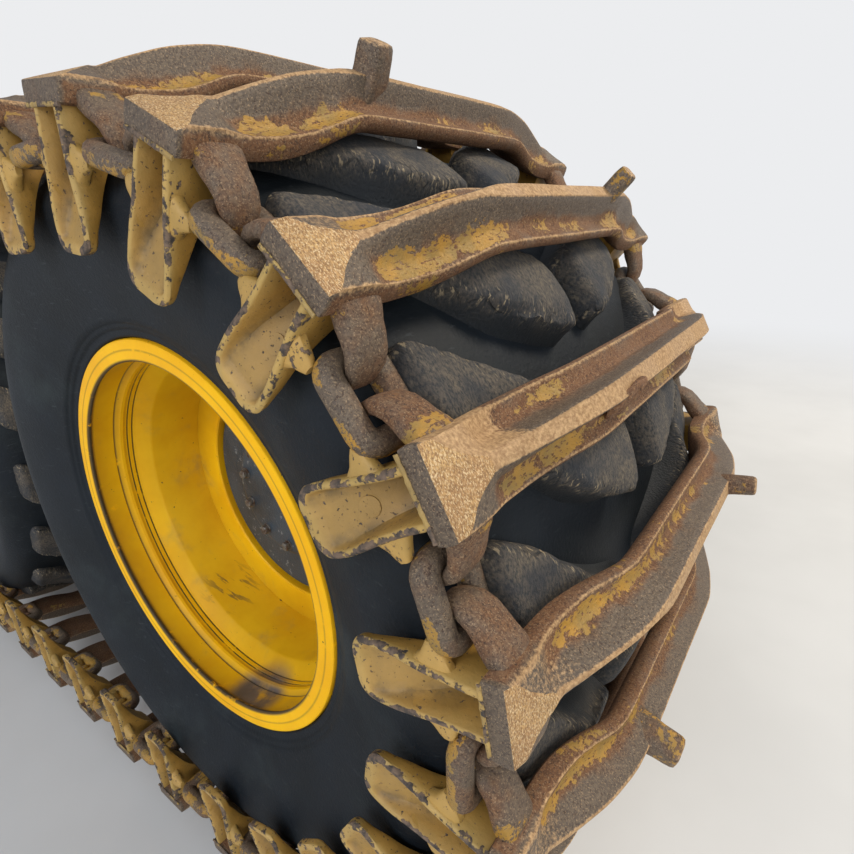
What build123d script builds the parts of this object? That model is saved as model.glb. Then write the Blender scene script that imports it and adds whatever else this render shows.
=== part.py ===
"""Tracked bogie of a forestry harvester, in millimetres.

Two wheels on a swinging bogie case run inside one steel band track. +X is the
way forward, -Y is the outer side with the open rims, +Y points to the machine
and +Z is up. The origin is the centre of the axle end's bolted flange, on the
bogie's swing axis.
"""
from build123d import *
from math import atan2, cos, degrees, pi, radians, sin, sqrt
import os

# Fits
seat_clearance = 0.3
shaft_clearance = 0.05
running_gap = 6.0

# Rim and wheel disc
rim_width = 700.0
flange_radius = 362.0
flange_thickness = 12.0
ring_thickness = 10.0
ring_width = 37.0
flange_height = 24.0
bead_seat_width = 70.0
rim_wall = 12.0
well_depth = 23.0
well_slope = 24.0
disc_depth = 222.0
disc_thickness = 22.0
disc_ledge = 70.0

# Tyre
tread_radius = 693.0
sidewall_bulge = 42.0
widest_drop = 150.0
shoulder_drop = 53.0
shoulder_inset = 62.0
crown_inset = 165.0
cavity_wall = 46.0
cavity_drop = 90.0
lug_count = 21
lug_length = 60.0
lug_end_height = 10.0

# Hub, final drive and bogie case
hub_radius = 215.0
hub_flange_overlap = 35.0
hub_flange_thickness = 28.0
hub_length = 300.0
hub_spigot_gap = 5.0
hub_cover_radius = 132.0
hub_cover_height = 26.0
spindle_radius = 110.0
spindle_length = 225.0
drive_radius = 172.0
drive_flange_radius = 235.0
drive_flange_thickness = 30.0
axle_drop = 90.0
tyre_gap = 114.0
case_gap = 34.0
case_width = 262.0
case_end_radius = 205.0
case_boss_radius = 268.0
case_edge = 16.0
cap_radius = 190.0
cap_thickness = 20.0
guard_thickness = 14.0
guard_inset = 190.0
bearing_wall = 135.0
bearing_length = 70.0

# Axle end
journal_radius = 150.0
journal_depth = 170.0
neck_radius = 205.0
neck_length = 96.0
axle_flange_radius = 290.0
axle_flange_thickness = 32.0
axle_bolt_circle = 510.0
axle_bolt_count = 16
axle_bolt_hole_radius = 12.5
axle_bore_radius = 70.0
drive_shaft_radius = 48.0
drive_spline_radius = 42.0
drive_spline_length = 40.0
seal_thickness = 18.0
stop_width = 60.0
stop_height = 52.0
stop_depth = 44.0
stop_gap = 6.0
stop_spare_turn = 1.5
swing_limit = 15.0

# Track
shoe_count = 33
first_shoe_turn = 8.48
link_line_drop = 38.0
shoe_overhang = 37.0
shoe_length = 90.0
shoe_edge = 26.0
plate_width = 99.0
ridge_height = 59.0
plate_drop = 11.0
facet_width = 129.0
facet_height = 40.0
paddle_length = 81.0
paddle_root_length = 60.0
paddle_reach = 161.0
paddle_thickness = 24.0
link_bar = 22.0
link_width = 67.0
link_reach = 38.0
stud_size = 28.0
stud_height = 38.0
stud_offset = 150.0
# Side of the stud on each shoe in turn, -1 outer, 1 inner, 0 none
stud_sides = (-1, 0, -1, 1, 0, 1)

# Places and radii that follow from the sizes
wheelbase = 2 * tread_radius + tyre_gap
half_base = wheelbase / 2
wheel_x = {"front": half_base, "rear": -half_base}
wheel_z = -axle_drop
bead_seat_radius = flange_radius - flange_height
barrel_radius = bead_seat_radius - well_depth
disc_bore_radius = barrel_radius - rim_wall - disc_ledge
hub_flange_radius = disc_bore_radius + hub_flange_overlap
tyre_half_width = rim_width / 2 + sidewall_bulge
crown_half_width = rim_width / 2 - crown_inset
shoe_half_width = tyre_half_width + shoe_overhang
link_line_radius = tread_radius - link_line_drop
loop_length = 2 * pi * link_line_radius + 2 * wheelbase
pitch = loop_length / shoe_count
first_shoe_travel = link_line_radius * radians(first_shoe_turn)
crown = tread_radius + seat_clearance
ridge_radius = tread_radius + ridge_height
plate_top_radius = tread_radius - plate_drop
plate_low = plate_top_radius - shoe_edge
bearing_radius = journal_radius + bearing_wall
neck_y = -axle_flange_thickness - neck_length
bearing_inner_y = neck_y - running_gap
case_inner_y = bearing_inner_y - bearing_length
case_outer_y = case_inner_y - case_width
bore_back_y = case_inner_y - journal_depth
centre_y = case_outer_y - case_gap - shoe_half_width
rim_face_y = centre_y - rim_width / 2
disc_y = rim_face_y + disc_depth
hub_y = disc_y + disc_thickness
drum_y = hub_y + hub_length + running_gap


def turned(points, x=0.0, z=0.0):
    """A body of revolution about an axis along Y, from (y, radius) points."""
    section = make_face(Polyline(*points, close=True))
    return Pos(x, 0, z) * revolve(Plane.YZ * section, Axis.Y)


def ring(outer, inner, y_low, y_high, x=0.0, z=0.0):
    """A plain ring about an axis along Y."""
    return turned([(y_low, inner), (y_high, inner), (y_high, outer), (y_low, outer)], x, z)


def disc(radius, y_low, y_high, x=0.0, z=0.0):
    """A plain round disc about an axis along Y."""
    turn = Rot(-90, 0, 0)
    return Pos(x, (y_low + y_high) / 2, z) * turn * Cylinder(radius, y_high - y_low)


def block(x_low, x_high, y_low, y_high, z_low, z_high):
    """A block between two corners."""
    centre = Pos((x_low + x_high) / 2, (y_low + y_high) / 2, (z_low + z_high) / 2)
    return centre * Box(x_high - x_low, y_high - y_low, z_high - z_low)


def both_sides(half):
    """A symmetrical outline, from points (distance from the centre plane, height) in order."""
    return [(-a, h) for a, h in half] + [(a, h) for a, h in reversed(half)]


def across(points, length):
    """A prism along the track, from (distance from the centre plane, height) points."""
    outline = make_face(Polyline(*[(centre_y + a, h) for a, h in points], close=True))
    return extrude(Plane.YZ * outline, amount=length / 2, both=True)


def on_track(travel):
    """The place on the loop after this travel from the front wheel's top, outwards up."""
    arc = pi * link_line_radius
    travel %= loop_length
    if travel < arc:
        return Pos(half_base, 0, wheel_z) * Rot(0, degrees(travel / link_line_radius), 0)
    travel -= arc
    if travel < wheelbase:
        return Pos(half_base - travel, 0, wheel_z) * Rot(0, 180, 0)
    travel -= wheelbase
    if travel < arc:
        turn = 180 + degrees(travel / link_line_radius)
        return Pos(-half_base, 0, wheel_z) * Rot(0, turn, 0)
    return Pos(travel - arc - half_base, 0, wheel_z)


def height_under(place, neighbour, reach):
    """How high a link may stand so that its end lies just under a neighbouring shoe's plate."""
    seen = neighbour.inverse() * place
    foot = (seen * Pos(reach, 0, 0)).position.Z
    rise = (seen * Pos(reach, 0, 1)).position.Z - foot
    return (plate_low - seat_clearance - foot) / rise


def save(name, shapes):
    """One STEP file for a sub-part, of one solid or of several that don't touch."""
    shapes = shapes if isinstance(shapes, list) else [shapes]
    solids = [solid for shape in shapes for solid in shape.solids()]
    export_step(solids[0] if len(solids) == 1 else Compound(children=solids), f"parts/{name}.step")


def rim(x):
    """The barrel: bead seats and flanges at both edges of a deep well."""
    flange_end = ring_thickness + flange_thickness
    well_start = flange_end + bead_seat_width
    outside = [
        (ring_thickness, flange_radius),
        (flange_end, flange_radius),
        (flange_end, bead_seat_radius),
        (well_start, bead_seat_radius),
        (well_start + well_slope, barrel_radius),
    ]
    inside = [
        (ring_thickness, bead_seat_radius - rim_wall),
        (well_start, bead_seat_radius - rim_wall),
        (well_start + well_slope, barrel_radius - rim_wall),
    ]
    outer = [(rim_face_y + y, r) for y, r in outside]
    outer += [(rim_face_y + rim_width - y, r) for y, r in reversed(outside)]
    inner = [(rim_face_y + y, r) for y, r in inside]
    inner += [(rim_face_y + rim_width - y, r) for y, r in reversed(inside)]
    return turned(outer + inner[::-1], x, wheel_z)


def rim_ring(x, side):
    """The flat ring welded round the edge of the rim, side -1 outside and 1 inside."""
    edge = centre_y + side * rim_width / 2
    seat = edge - side * ring_thickness
    return ring(flange_radius, flange_radius - ring_width, min(edge, seat), max(edge, seat), x, wheel_z)


def wheel_disc(x):
    outer = barrel_radius - rim_wall - seat_clearance
    return ring(outer, disc_bore_radius, disc_y, disc_y + disc_thickness, x, wheel_z)


def hub(x):
    """The planetary hub: a spigot in the disc's bore, a bolting flange and a drum on the spindle."""
    face_y = disc_y + disc_thickness / 2
    spigot = disc_bore_radius - hub_spigot_gap
    flange_end = hub_y + hub_flange_thickness
    hub_end = hub_y + hub_length
    points = [
        (face_y, 0),
        (face_y, spigot),
        (hub_y, spigot),
        (hub_y, hub_flange_radius),
        (flange_end, hub_flange_radius),
        (flange_end, hub_radius),
        (hub_end, hub_radius),
        (hub_end, 0),
    ]
    bore = disc(spindle_radius + shaft_clearance, hub_end - spindle_length, hub_end + 1, x, wheel_z)
    return turned(points, x, wheel_z) - bore


def hub_cover(x):
    face_y = disc_y + disc_thickness / 2
    return disc(hub_cover_radius, face_y - hub_cover_height, face_y, x, wheel_z)


def final_drive(x):
    """The fixed drum between hub and bogie case, with the spindle that carries the wheel."""
    flange_y = case_outer_y - drive_flange_thickness
    drive = disc(drive_radius, drum_y, case_outer_y, x, wheel_z)
    drive += disc(drive_flange_radius, flange_y, case_outer_y, x, wheel_z)
    return drive + disc(spindle_radius, drum_y - spindle_length, drum_y, x, wheel_z)


def tyre(x):
    """The tyre, flat-sided between its lugs, as one sector for each lug."""
    bead_side = rim_width / 2 - ring_thickness - flange_thickness - seat_clearance
    bead_floor = bead_seat_radius + seat_clearance
    shoulder_side = tyre_half_width - shoulder_inset
    carcass = [
        (bead_side, bead_floor),
        (bead_side, flange_radius + seat_clearance),
        (tyre_half_width, tread_radius - widest_drop),
        (shoulder_side, tread_radius - shoulder_drop),
    ]
    cavity = [(bead_side - cavity_wall, 0), (bead_side - cavity_wall, tread_radius - cavity_drop)]
    lug_top = sqrt(tread_radius ** 2 - (lug_length / 2) ** 2)
    lug = [
        (shoulder_side, tread_radius - shoulder_drop),
        (shoulder_side, tread_radius - shoulder_drop + lug_end_height),
        (crown_half_width, lug_top),
    ]
    reach = 2 * tread_radius
    half_turn = pi / lug_count
    wedge = Polyline((0, 0), (-reach * sin(half_turn), reach * cos(half_turn)),
                     (reach * sin(half_turn), reach * cos(half_turn)), close=True)
    wedge = extrude(Plane.XZ * make_face(wedge), amount=2 * rim_width, both=True)
    sector = across(both_sides(carcass), reach) & (Pos(0, centre_y, 0) * wedge)
    sector = sector + across(both_sides(lug), lug_length) - across(both_sides(cavity), reach)
    sectors = [Rot(0, 360 * turn / lug_count, 0) * sector for turn in range(lug_count)]
    return Pos(x, 0, wheel_z) * sectors[0].fuse(*sectors[1:])


def track_shoe():
    """A forged cross bar: roof-shaped, arched over the tread, with a flat facet cut on each end."""
    # Distance from the centre plane, underside
    stations = [
        (-shoe_half_width, plate_low),
        (plate_width - shoe_half_width, plate_low),
        (-crown_half_width, crown),
        (crown_half_width, crown),
        (shoe_half_width - plate_width, plate_low),
        (shoe_half_width, plate_low),
    ]
    edge = shoe_length / 2
    peak = ridge_radius - crown
    bar = []
    for (start, low), (end, next_low) in zip(stations, stations[1:]):
        roof = [(-edge, low), (edge, low), (edge, low + shoe_edge), (0, low + peak), (-edge, low + shoe_edge)]
        section = Pos(0, centre_y + start, 0) * (Plane.XZ * make_face(Polyline(*roof, close=True)))
        run = Vector(0, end - start, next_low - low)
        bar.append(extrude(section, amount=run.length, dir=run))
    shoe = bar[0].fuse(*bar[1:])
    for side in (-1, 1):
        outer = side * (shoe_half_width + facet_width)
        inner = side * (shoe_half_width - 2 * facet_width)
        facet = [
            (outer, plate_top_radius - facet_height),
            (inner, plate_top_radius + 2 * facet_height),
            (inner, plate_top_radius + 4 * facet_height),
            (outer, plate_top_radius + 4 * facet_height),
        ]
        shoe -= across(facet, 2 * shoe_length)
    return shoe


os.makedirs("parts", exist_ok=True)

# Axle end
housing = disc(axle_flange_radius, -axle_flange_thickness, 0)
housing += disc(neck_radius, neck_y, -axle_flange_thickness)
housing += block(-stop_width / 2, stop_width / 2, neck_y, neck_y + stop_depth, 0, neck_radius + stop_height)
housing -= disc(axle_bore_radius, neck_y - 1, 1)
for bolt in range(axle_bolt_count):
    turn = 2 * pi * (bolt + 0.5) / axle_bolt_count
    bolt_x = axle_bolt_circle / 2 * cos(turn)
    bolt_z = axle_bolt_circle / 2 * sin(turn)
    housing -= disc(axle_bolt_hole_radius, -axle_flange_thickness - 1, 1, bolt_x, bolt_z)
save("axle_end_housing", housing)
journal_end_y = bore_back_y + running_gap
save("swing_journal", ring(journal_radius, axle_bore_radius, journal_end_y, neck_y))
shaft = disc(drive_shaft_radius, journal_end_y, 0) + disc(drive_spline_radius, 0, drive_spline_length)
save("drive_shaft", shaft)
seal_y = -axle_flange_thickness
save("shaft_seal", ring(axle_bore_radius - seat_clearance, drive_shaft_radius + seat_clearance,
                        seal_y, seal_y + seal_thickness))

# Bogie case and what is bolted to it
rounds = [Pos(x, wheel_z) * Circle(case_end_radius) for x in wheel_x.values()] + [Circle(case_boss_radius)]
outline = make_face(make_hull([edge for circle in rounds for edge in circle.edges()]))
case = Pos(0, case_inner_y, 0) * extrude(Plane.XZ * outline, amount=case_width)
case = chamfer(case.edges().group_by(Axis.Y)[0] + case.edges().group_by(Axis.Y)[-1], case_edge)
case -= disc(journal_radius + shaft_clearance, bore_back_y, case_inner_y + 1)
save("bogie_case", case)
bearing = ring(bearing_radius, journal_radius + shaft_clearance, case_inner_y, bearing_inner_y)
stop_turn = swing_limit + 2 * degrees(atan2(stop_width / 2, neck_radius)) + stop_spare_turn
stop = block(-stop_width / 2, stop_width / 2, bearing_inner_y, neck_y + stop_depth,
             neck_radius + stop_gap, bearing_radius - stop_gap)
for side in (-1, 1):
    bearing += Rot(0, side * stop_turn, 0) * stop
save("swing_bearing", bearing)
save("case_cap", disc(cap_radius, case_outer_y - cap_thickness, case_outer_y))
guard_top = wheel_z - case_end_radius
guard_reach = half_base - guard_inset
save("belly_guard", block(-guard_reach, guard_reach, case_outer_y + case_edge, case_inner_y - case_edge,
                          guard_top - guard_thickness, guard_top))

# Wheels
for name, x in wheel_x.items():
    save(f"final_drive_{name}", final_drive(x))
    save(f"hub_{name}", hub(x))
    save(f"hub_cover_{name}", hub_cover(x))
    save(f"wheel_disc_{name}", wheel_disc(x))
    save(f"rim_{name}", rim(x))
    save(f"rim_ring_outer_{name}", rim_ring(x, -1))
    save(f"rim_ring_inner_{name}", rim_ring(x, 1))
    save(f"tyre_{name}", tyre(x))

# Track: one shoe, stud, paddle and link, repeated round the loop
one_shoe = track_shoe()
shoes, studs = [], []
paddles = {-1: [], 1: []}
links = {-1: [], 1: []}
for count in range(shoe_count):
    travel = first_shoe_travel + (count - 1) * pitch
    place = on_track(travel)
    following = on_track(travel + pitch)
    between = on_track(travel + pitch / 2)
    shoes.append(place * one_shoe)
    stud_side = stud_sides[count % len(stud_sides)]
    if stud_side:
        stud_y = centre_y + stud_side * stud_offset
        half = stud_size / 2
        stud_tip = ridge_radius + stud_height
        stud = block(-half, half, stud_y - half, stud_y + half, ridge_radius - half, stud_tip)
        studs.append(place * (stud - one_shoe))
    reach = pitch / 2 - link_reach
    back_top = height_under(between, place, -reach)
    front_top = height_under(between, following, reach)
    bar = Polyline((-reach, back_top), (reach, front_top),
                   (reach, front_top - link_bar), (-reach, back_top - link_bar), close=True)
    for side in (-1, 1):
        edge = centre_y + side * shoe_half_width
        back = edge - side * paddle_thickness
        tip = plate_low - paddle_reach
        outline = [(-paddle_length / 2, tip), (paddle_length / 2, tip),
                   (paddle_root_length / 2, plate_low), (-paddle_root_length / 2, plate_low)]
        face = Pos(0, max(edge, back), 0) * (Plane.XZ * make_face(Polyline(*outline, close=True)))
        paddles[side].append(place * extrude(face, amount=paddle_thickness))
        face = Pos(0, max(edge, edge - side * link_width), 0) * (Plane.XZ * make_face(bar))
        links[side].append(between * extrude(face, amount=link_width))
save("track_shoes", shoes)
save("track_studs", studs)
save("outer_paddles", paddles[-1])
save("inner_paddles", paddles[1])
save("outer_links", links[-1])
save("inner_links", links[1])
print("rim face", rim_face_y, "pitch", pitch, "wheelbase", wheelbase)
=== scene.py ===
"""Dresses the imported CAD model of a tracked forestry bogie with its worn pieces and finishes."""

import bmesh
import bpy
import math
import random
from mathutils import Matrix, Vector, noise


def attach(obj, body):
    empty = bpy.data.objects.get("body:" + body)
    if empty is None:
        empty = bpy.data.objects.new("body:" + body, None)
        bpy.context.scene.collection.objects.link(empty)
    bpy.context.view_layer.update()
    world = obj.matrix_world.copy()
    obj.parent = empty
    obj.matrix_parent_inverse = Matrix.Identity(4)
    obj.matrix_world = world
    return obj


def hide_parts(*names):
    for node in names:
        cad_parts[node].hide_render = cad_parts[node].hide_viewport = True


bl_info = {
    "name": "Tracked Bogie Dresser",
    "version": (1, 0, 0),
    "blender": (4, 5, 0),
    "location": "3D View > Sidebar > Bogie",
    "description": "Builds a worn band track, tyres, rims and case round the CAD frame of a forestry bogie",
    "category": "Object",
}

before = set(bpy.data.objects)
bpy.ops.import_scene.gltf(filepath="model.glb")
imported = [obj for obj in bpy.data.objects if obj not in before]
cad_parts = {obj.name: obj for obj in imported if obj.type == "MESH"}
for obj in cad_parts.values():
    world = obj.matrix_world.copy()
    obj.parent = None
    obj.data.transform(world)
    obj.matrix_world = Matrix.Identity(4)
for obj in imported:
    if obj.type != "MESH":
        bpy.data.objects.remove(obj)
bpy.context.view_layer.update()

MM = 0.001

# Without a seed of its own the noise on uneven faces would differ from run to run
noise.seed_set(1)

# Places of the CAD frame, in millimetres
HALF_BASE = 750.0
WHEEL_Z = -90.0
WHEEL_X = {"front": HALF_BASE, "rear": -HALF_BASE}
CENTRE_Y = -929.0
RIM_FACE_Y = -1279.0
RIM_WIDTH = 700.0
FLOOR_Z = -880.0
LINK_LINE_RADIUS = 655.0
LOOP_LENGTH = 2 * math.pi * LINK_LINE_RADIUS + 4 * HALF_BASE
FIRST_SHOE_TRAVEL = LINK_LINE_RADIUS * math.radians(8.48)
SHOE_HALF_WIDTH = 429.0
HOOK_PLACE = 384.0
PLATE_TOP = 682.0
CASE_INNER_Y = -204.0
CASE_OUTER_Y = -466.0


def linear(hex_colour):
    """An sRGB hex colour as the linear RGBA that shaders take."""
    parts = [int(hex_colour[place:place + 2], 16) / 255 for place in (1, 3, 5)]
    curve = [p / 12.92 if p <= 0.04045 else ((p + 0.055) / 1.055) ** 2.4 for p in parts]
    return (*curve, 1.0)


def colour_setting(name, description, hex_colour):
    return bpy.props.FloatVectorProperty(name=name, description=description, subtype="COLOR", size=4,
                                         min=0.0, max=1.0, default=linear(hex_colour))


def length_setting(name, description, millimetres):
    return bpy.props.FloatProperty(name=name, description=description, unit="LENGTH", min=0.0,
                                   default=millimetres * MM)


class BOGIE_PG_sizes(bpy.types.PropertyGroup):
    shoe_count: bpy.props.IntProperty(name="Shoes", description="Cross bars round the loop",
                                      default=33, min=8)
    lug_count: bpy.props.IntProperty(name="Lugs", description="Tread lugs on each side of a tyre",
                                     default=18, min=6)
    shoe_length: length_setting("Shoe length", "Length of a cross bar along the track", 90)
    ring_bar: length_setting("Ring bar", "Thickness of a link's bar", 28)
    forging_wave: length_setting("Forging unevenness", "How far forged faces wander from flat", 0.7)


class BOGIE_PG_colours(bpy.types.PropertyGroup):
    rim_yellow: colour_setting("Rim yellow", "Fresh enamel of the rims", "#FFC400")
    track_yellow: colour_setting("Track yellow", "Old paint on shoes and trays", "#B3852F")
    rust_brown: colour_setting("Rust brown", "Weathered forged steel", "#714B30")
    worn_grey: colour_setting("Worn grey", "Steel rubbed bare by ground and brush", "#6F604E")
    fresh_rust: colour_setting("Fresh rust", "Ground faces that rusted again", "#B58C5C")
    tyre_black: colour_setting("Tyre black", "Sidewall rubber", "#141B22")
    dry_mud: colour_setting("Dry mud", "Dust and mud on rubber and castings", "#7E7765")
    case_grey: colour_setting("Case grey", "Painted castings", "#3A4046")
    floor_white: colour_setting("Floor", "Studio floor", "#DEDDD9")


def settings():
    return bpy.context.scene.bogie_sizes


def colours():
    return bpy.context.scene.bogie_colours


# Shaders

def node(tree, kind, links=None, out=None, **values):
    """Adds a shader node, with each socket fed or set, by a hex colour too, and gives the output in use."""
    made = tree.nodes.new("ShaderNode" + kind)
    for name, value in values.items():
        setattr(made, name, value)
    for socket, source in (links or {}).items():
        if isinstance(source, bpy.types.NodeSocket):
            tree.links.new(source, made.inputs[socket])
        else:
            made.inputs[socket].default_value = linear(source) if isinstance(source, str) else source
    return made.outputs[out] if out else next(socket for socket in made.outputs if socket.enabled)


def per_mm(size):
    """The noise scale whose features are this many millimetres across."""
    return 1000.0 / size


def started(name):
    """A new material's tree, its shader and its object coordinates."""
    made = bpy.data.materials.new(name)
    made.use_nodes = True
    tree = made.node_tree
    return made, tree, tree.nodes["Principled BSDF"], node(tree, "TexCoord", out="Object")


def patches(tree, where, size, low, high, detail=4.0):
    """Blotches of this many millimetres: the noise from low to high is stretched to cover 0 to 1."""
    cloud = node(tree, "TexNoise", {"Vector": where, "Scale": per_mm(size), "Detail": detail,
                                    "Roughness": 0.62})
    return node(tree, "MapRange", {"Value": cloud, "From Min": low, "From Max": high},
                interpolation_type="SMOOTHSTEP")


def coated(tree, shader, colour, roughness, height, depth):
    """Gives the shader its colour, its roughness and a relief of this many millimetres."""
    tree.links.new(colour, shader.inputs["Base Color"])
    tree.links.new(roughness, shader.inputs["Roughness"])
    bump = node(tree, "Bump", {"Height": height, "Distance": depth * MM, "Strength": 1.0})
    tree.links.new(bump, shader.inputs["Normal"])


def zone_masks(tree):
    """The three masks that a piece's mesh carries in its zone attribute."""
    seen = node(tree, "Attribute", out="Color", attribute_name="zone")
    return node(tree, "SeparateColor", {0: seen}).node.outputs[:]


def forged_steel(name, paint_line, fleck_share):
    # Drop-forged manganese steel: brown scale full of pale flecks, flanks rubbed to grey-brown, crests and
    # edges ground bright and rusted to tan with a painted highlight in its pale end, and old yellow paint
    # left in the hollows
    made, tree, shader, where = started(name)
    hollow, rubbed, ground = zone_masks(tree)
    broad = patches(tree, where, 55, 0.34, 0.66)
    grain = patches(tree, where, 4, 0.3, 0.7, 6.0)
    # The flecks are under a millimetre on the real steel and are drawn coarse enough to show
    flecks = patches(tree, where, 1.9, 0.56, 0.68, 2.0)
    pits = patches(tree, where, 2.6, 0.33, 0.46, 3.0)
    rust = node(tree, "Mix", {0: broad, 6: "#523727", 7: tuple(colours().rust_brown)}, data_type="RGBA")
    rust = node(tree, "Mix", {0: grain, 6: rust, 7: "#86603F"}, data_type="RGBA")
    steel = node(tree, "Mix", {0: grain, 6: "#52463B", 7: tuple(colours().worn_grey)}, data_type="RGBA")
    bare = node(tree, "Math", {0: broad, 1: 0.45, 2: rubbed}, operation="MULTIPLY_ADD")
    bare = node(tree, "MapRange", {"Value": bare, "From Min": 0.3, "From Max": 0.9},
                interpolation_type="SMOOTHSTEP")
    body = node(tree, "Mix", {0: bare, 6: rust, 7: steel}, data_type="RGBA")
    body = node(tree, "Mix", {0: pits, 6: "#453328", 7: body}, data_type="RGBA")
    fleck = node(tree, "Math", {0: flecks, 1: fleck_share}, operation="MULTIPLY")
    body = node(tree, "Mix", {0: fleck, 6: body, 7: "#B89C78"}, data_type="RGBA")
    # Painted highlight: the tan on crests and edges is rusted ground steel, and its pale end is lightened so
    # that they look sunlit
    tan = node(tree, "Mix", {0: grain, 6: "#93704A", 7: "#C6A274"}, data_type="RGBA")
    tan_share = node(tree, "Math", {0: grain, 1: 0.3, 2: ground}, operation="MULTIPLY_ADD")
    tan_share = node(tree, "MapRange", {"Value": tan_share, "From Min": 0.55, "From Max": 0.95},
                     interpolation_type="SMOOTHSTEP")
    body = node(tree, "Mix", {0: tan_share, 6: body, 7: tan}, data_type="RGBA")
    shelter = node(tree, "Math", {0: patches(tree, where, 85, 0.32, 0.68, 2.0), 1: 0.8, 2: hollow},
                   operation="MULTIPLY_ADD")
    shelter = node(tree, "Math", {0: patches(tree, where, 9, 0.3, 0.7, 8.0), 1: 0.45, 2: shelter},
                   operation="MULTIPLY_ADD")
    paint = node(tree, "MapRange", {"Value": shelter, "From Min": paint_line, "From Max": paint_line + 0.07},
                 interpolation_type="SMOOTHSTEP")
    # Chips out of the paint, drawn out along the bar
    along = node(tree, "Mapping", {"Vector": where, "Scale": (1, 0.35, 1)})
    paint = node(tree, "Math", {0: paint, 1: patches(tree, along, 3.2, 0.39, 0.44, 5.0)},
                 operation="MULTIPLY")
    yellow = node(tree, "Mix", {0: patches(tree, where, 30, 0.3, 0.7, 6.0), 6: "#93773C",
                                7: tuple(colours().track_yellow)}, data_type="RGBA")
    body = node(tree, "Mix", {0: paint, 6: body, 7: yellow}, data_type="RGBA")
    rough = node(tree, "Mix", {0: bare, 2: 0.85, 3: 0.55})
    rough = node(tree, "Mix", {0: paint, 2: rough, 3: 0.5})
    height = node(tree, "Math", {0: pits, 1: 0.5, 2: grain}, operation="MULTIPLY_ADD")
    height = node(tree, "Math", {0: paint, 1: 0.25, 2: height}, operation="MULTIPLY_ADD")
    coated(tree, shader, body, rough, height, 0.5)
    shader.inputs["Metallic"].default_value = 0.12
    return made


def ground_steel():
    # Forging ends ground flat by rock and rusted again: light tan with slanting drag lines and bright grains
    made, tree, shader, where = started("ground_steel")
    slant = node(tree, "Mapping", {"Vector": where, "Rotation": (0.5, 0.2, 0.75), "Scale": (1, 2.2, 1)})
    lines = patches(tree, slant, 3.2, 0.36, 0.62, 4.0)
    # Each line is a hair's width on the real steel and is drawn over a millimetre wide to show
    bright = patches(tree, slant, 2.6, 0.5, 0.68, 2.0)
    light = node(tree, "Mix", {0: patches(tree, where, 40, 0.35, 0.7), 6: tuple(colours().fresh_rust),
                               7: "#CBA46A"}, data_type="RGBA")
    body = node(tree, "Mix", {0: lines, 6: "#8A6640", 7: light}, data_type="RGBA")
    body = node(tree, "Mix", {0: bright, 6: body, 7: "#DCC194"}, data_type="RGBA")
    rough = node(tree, "Mix", {0: bright, 2: 0.62, 3: 0.42})
    coated(tree, shader, body, rough, lines, 0.35)
    shader.inputs["Metallic"].default_value = 0.2
    return made


def tray_paint():
    # Cast steel in old yellow enamel: dusty grey-tan floors, dark specks, lips chipped to grey scale, and
    # painted shade in the corners
    made, tree, shader, where = started("tray_paint")
    floor, lip, corner = zone_masks(tree)
    cloud = patches(tree, where, 60, 0.32, 0.68)
    yellow = node(tree, "Mix", {0: cloud, 6: "#9C742C", 7: "#BC8C3C"}, data_type="RGBA")
    dust = node(tree, "Math", {0: floor, 1: 0.7}, operation="MULTIPLY")
    yellow = node(tree, "Mix", {0: dust, 6: yellow, 7: "#A18349"}, data_type="RGBA")
    faded = node(tree, "Math", {0: lip, 1: 0.55}, operation="MULTIPLY")
    yellow = node(tree, "Mix", {0: faded, 6: yellow, 7: "#B6A063"}, data_type="RGBA")
    # Painted shade: the corners where the walls meet the floor, and the weld bead, are darkened in blotches
    corner_shade = node(tree, "Math", {0: corner, 1: patches(tree, where, 25, 0.3, 0.7, 6.0)}, operation="MULTIPLY")
    yellow = node(tree, "Mix", {0: corner_shade, 6: yellow, 7: "#5F4F33"}, data_type="RGBA")
    worn = node(tree, "Math", {0: patches(tree, where, 26, 0.3, 0.7, 3.0), 1: 0.75, 2: lip},
                operation="MULTIPLY_ADD")
    worn = node(tree, "Math", {0: patches(tree, where, 7, 0.3, 0.7, 8.0), 1: 0.4, 2: worn},
                operation="MULTIPLY_ADD")
    chips = node(tree, "MapRange", {"Value": worn, "From Min": 1.53, "From Max": 1.6})
    specks = patches(tree, where, 4.5, 0.63, 0.66, 5.0)
    chips = node(tree, "Math", {0: chips, 1: specks}, operation="MAXIMUM")
    under = node(tree, "Mix", {0: patches(tree, where, 8, 0.35, 0.65, 6.0), 6: "#3A342F",
                               7: "#75614F"}, data_type="RGBA")
    body = node(tree, "Mix", {0: chips, 6: yellow, 7: under}, data_type="RGBA")
    rough = node(tree, "Mix", {0: chips, 2: 0.55, 3: 0.8})
    height = node(tree, "Math", {0: patches(tree, where, 7, 0.3, 0.7, 5.0), 1: 0.5, 2: chips},
                  operation="MULTIPLY_ADD")
    height = node(tree, "Math", {0: 1.5, 1: height}, operation="SUBTRACT")
    coated(tree, shader, body, rough, height, 0.5)
    return made


# Places in metres, low in the front rim
SCOURED_SPOT = (0.812, -1.243, -0.415)
SCRAPED_SPOT = (0.576, -1.12, -0.338)


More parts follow.
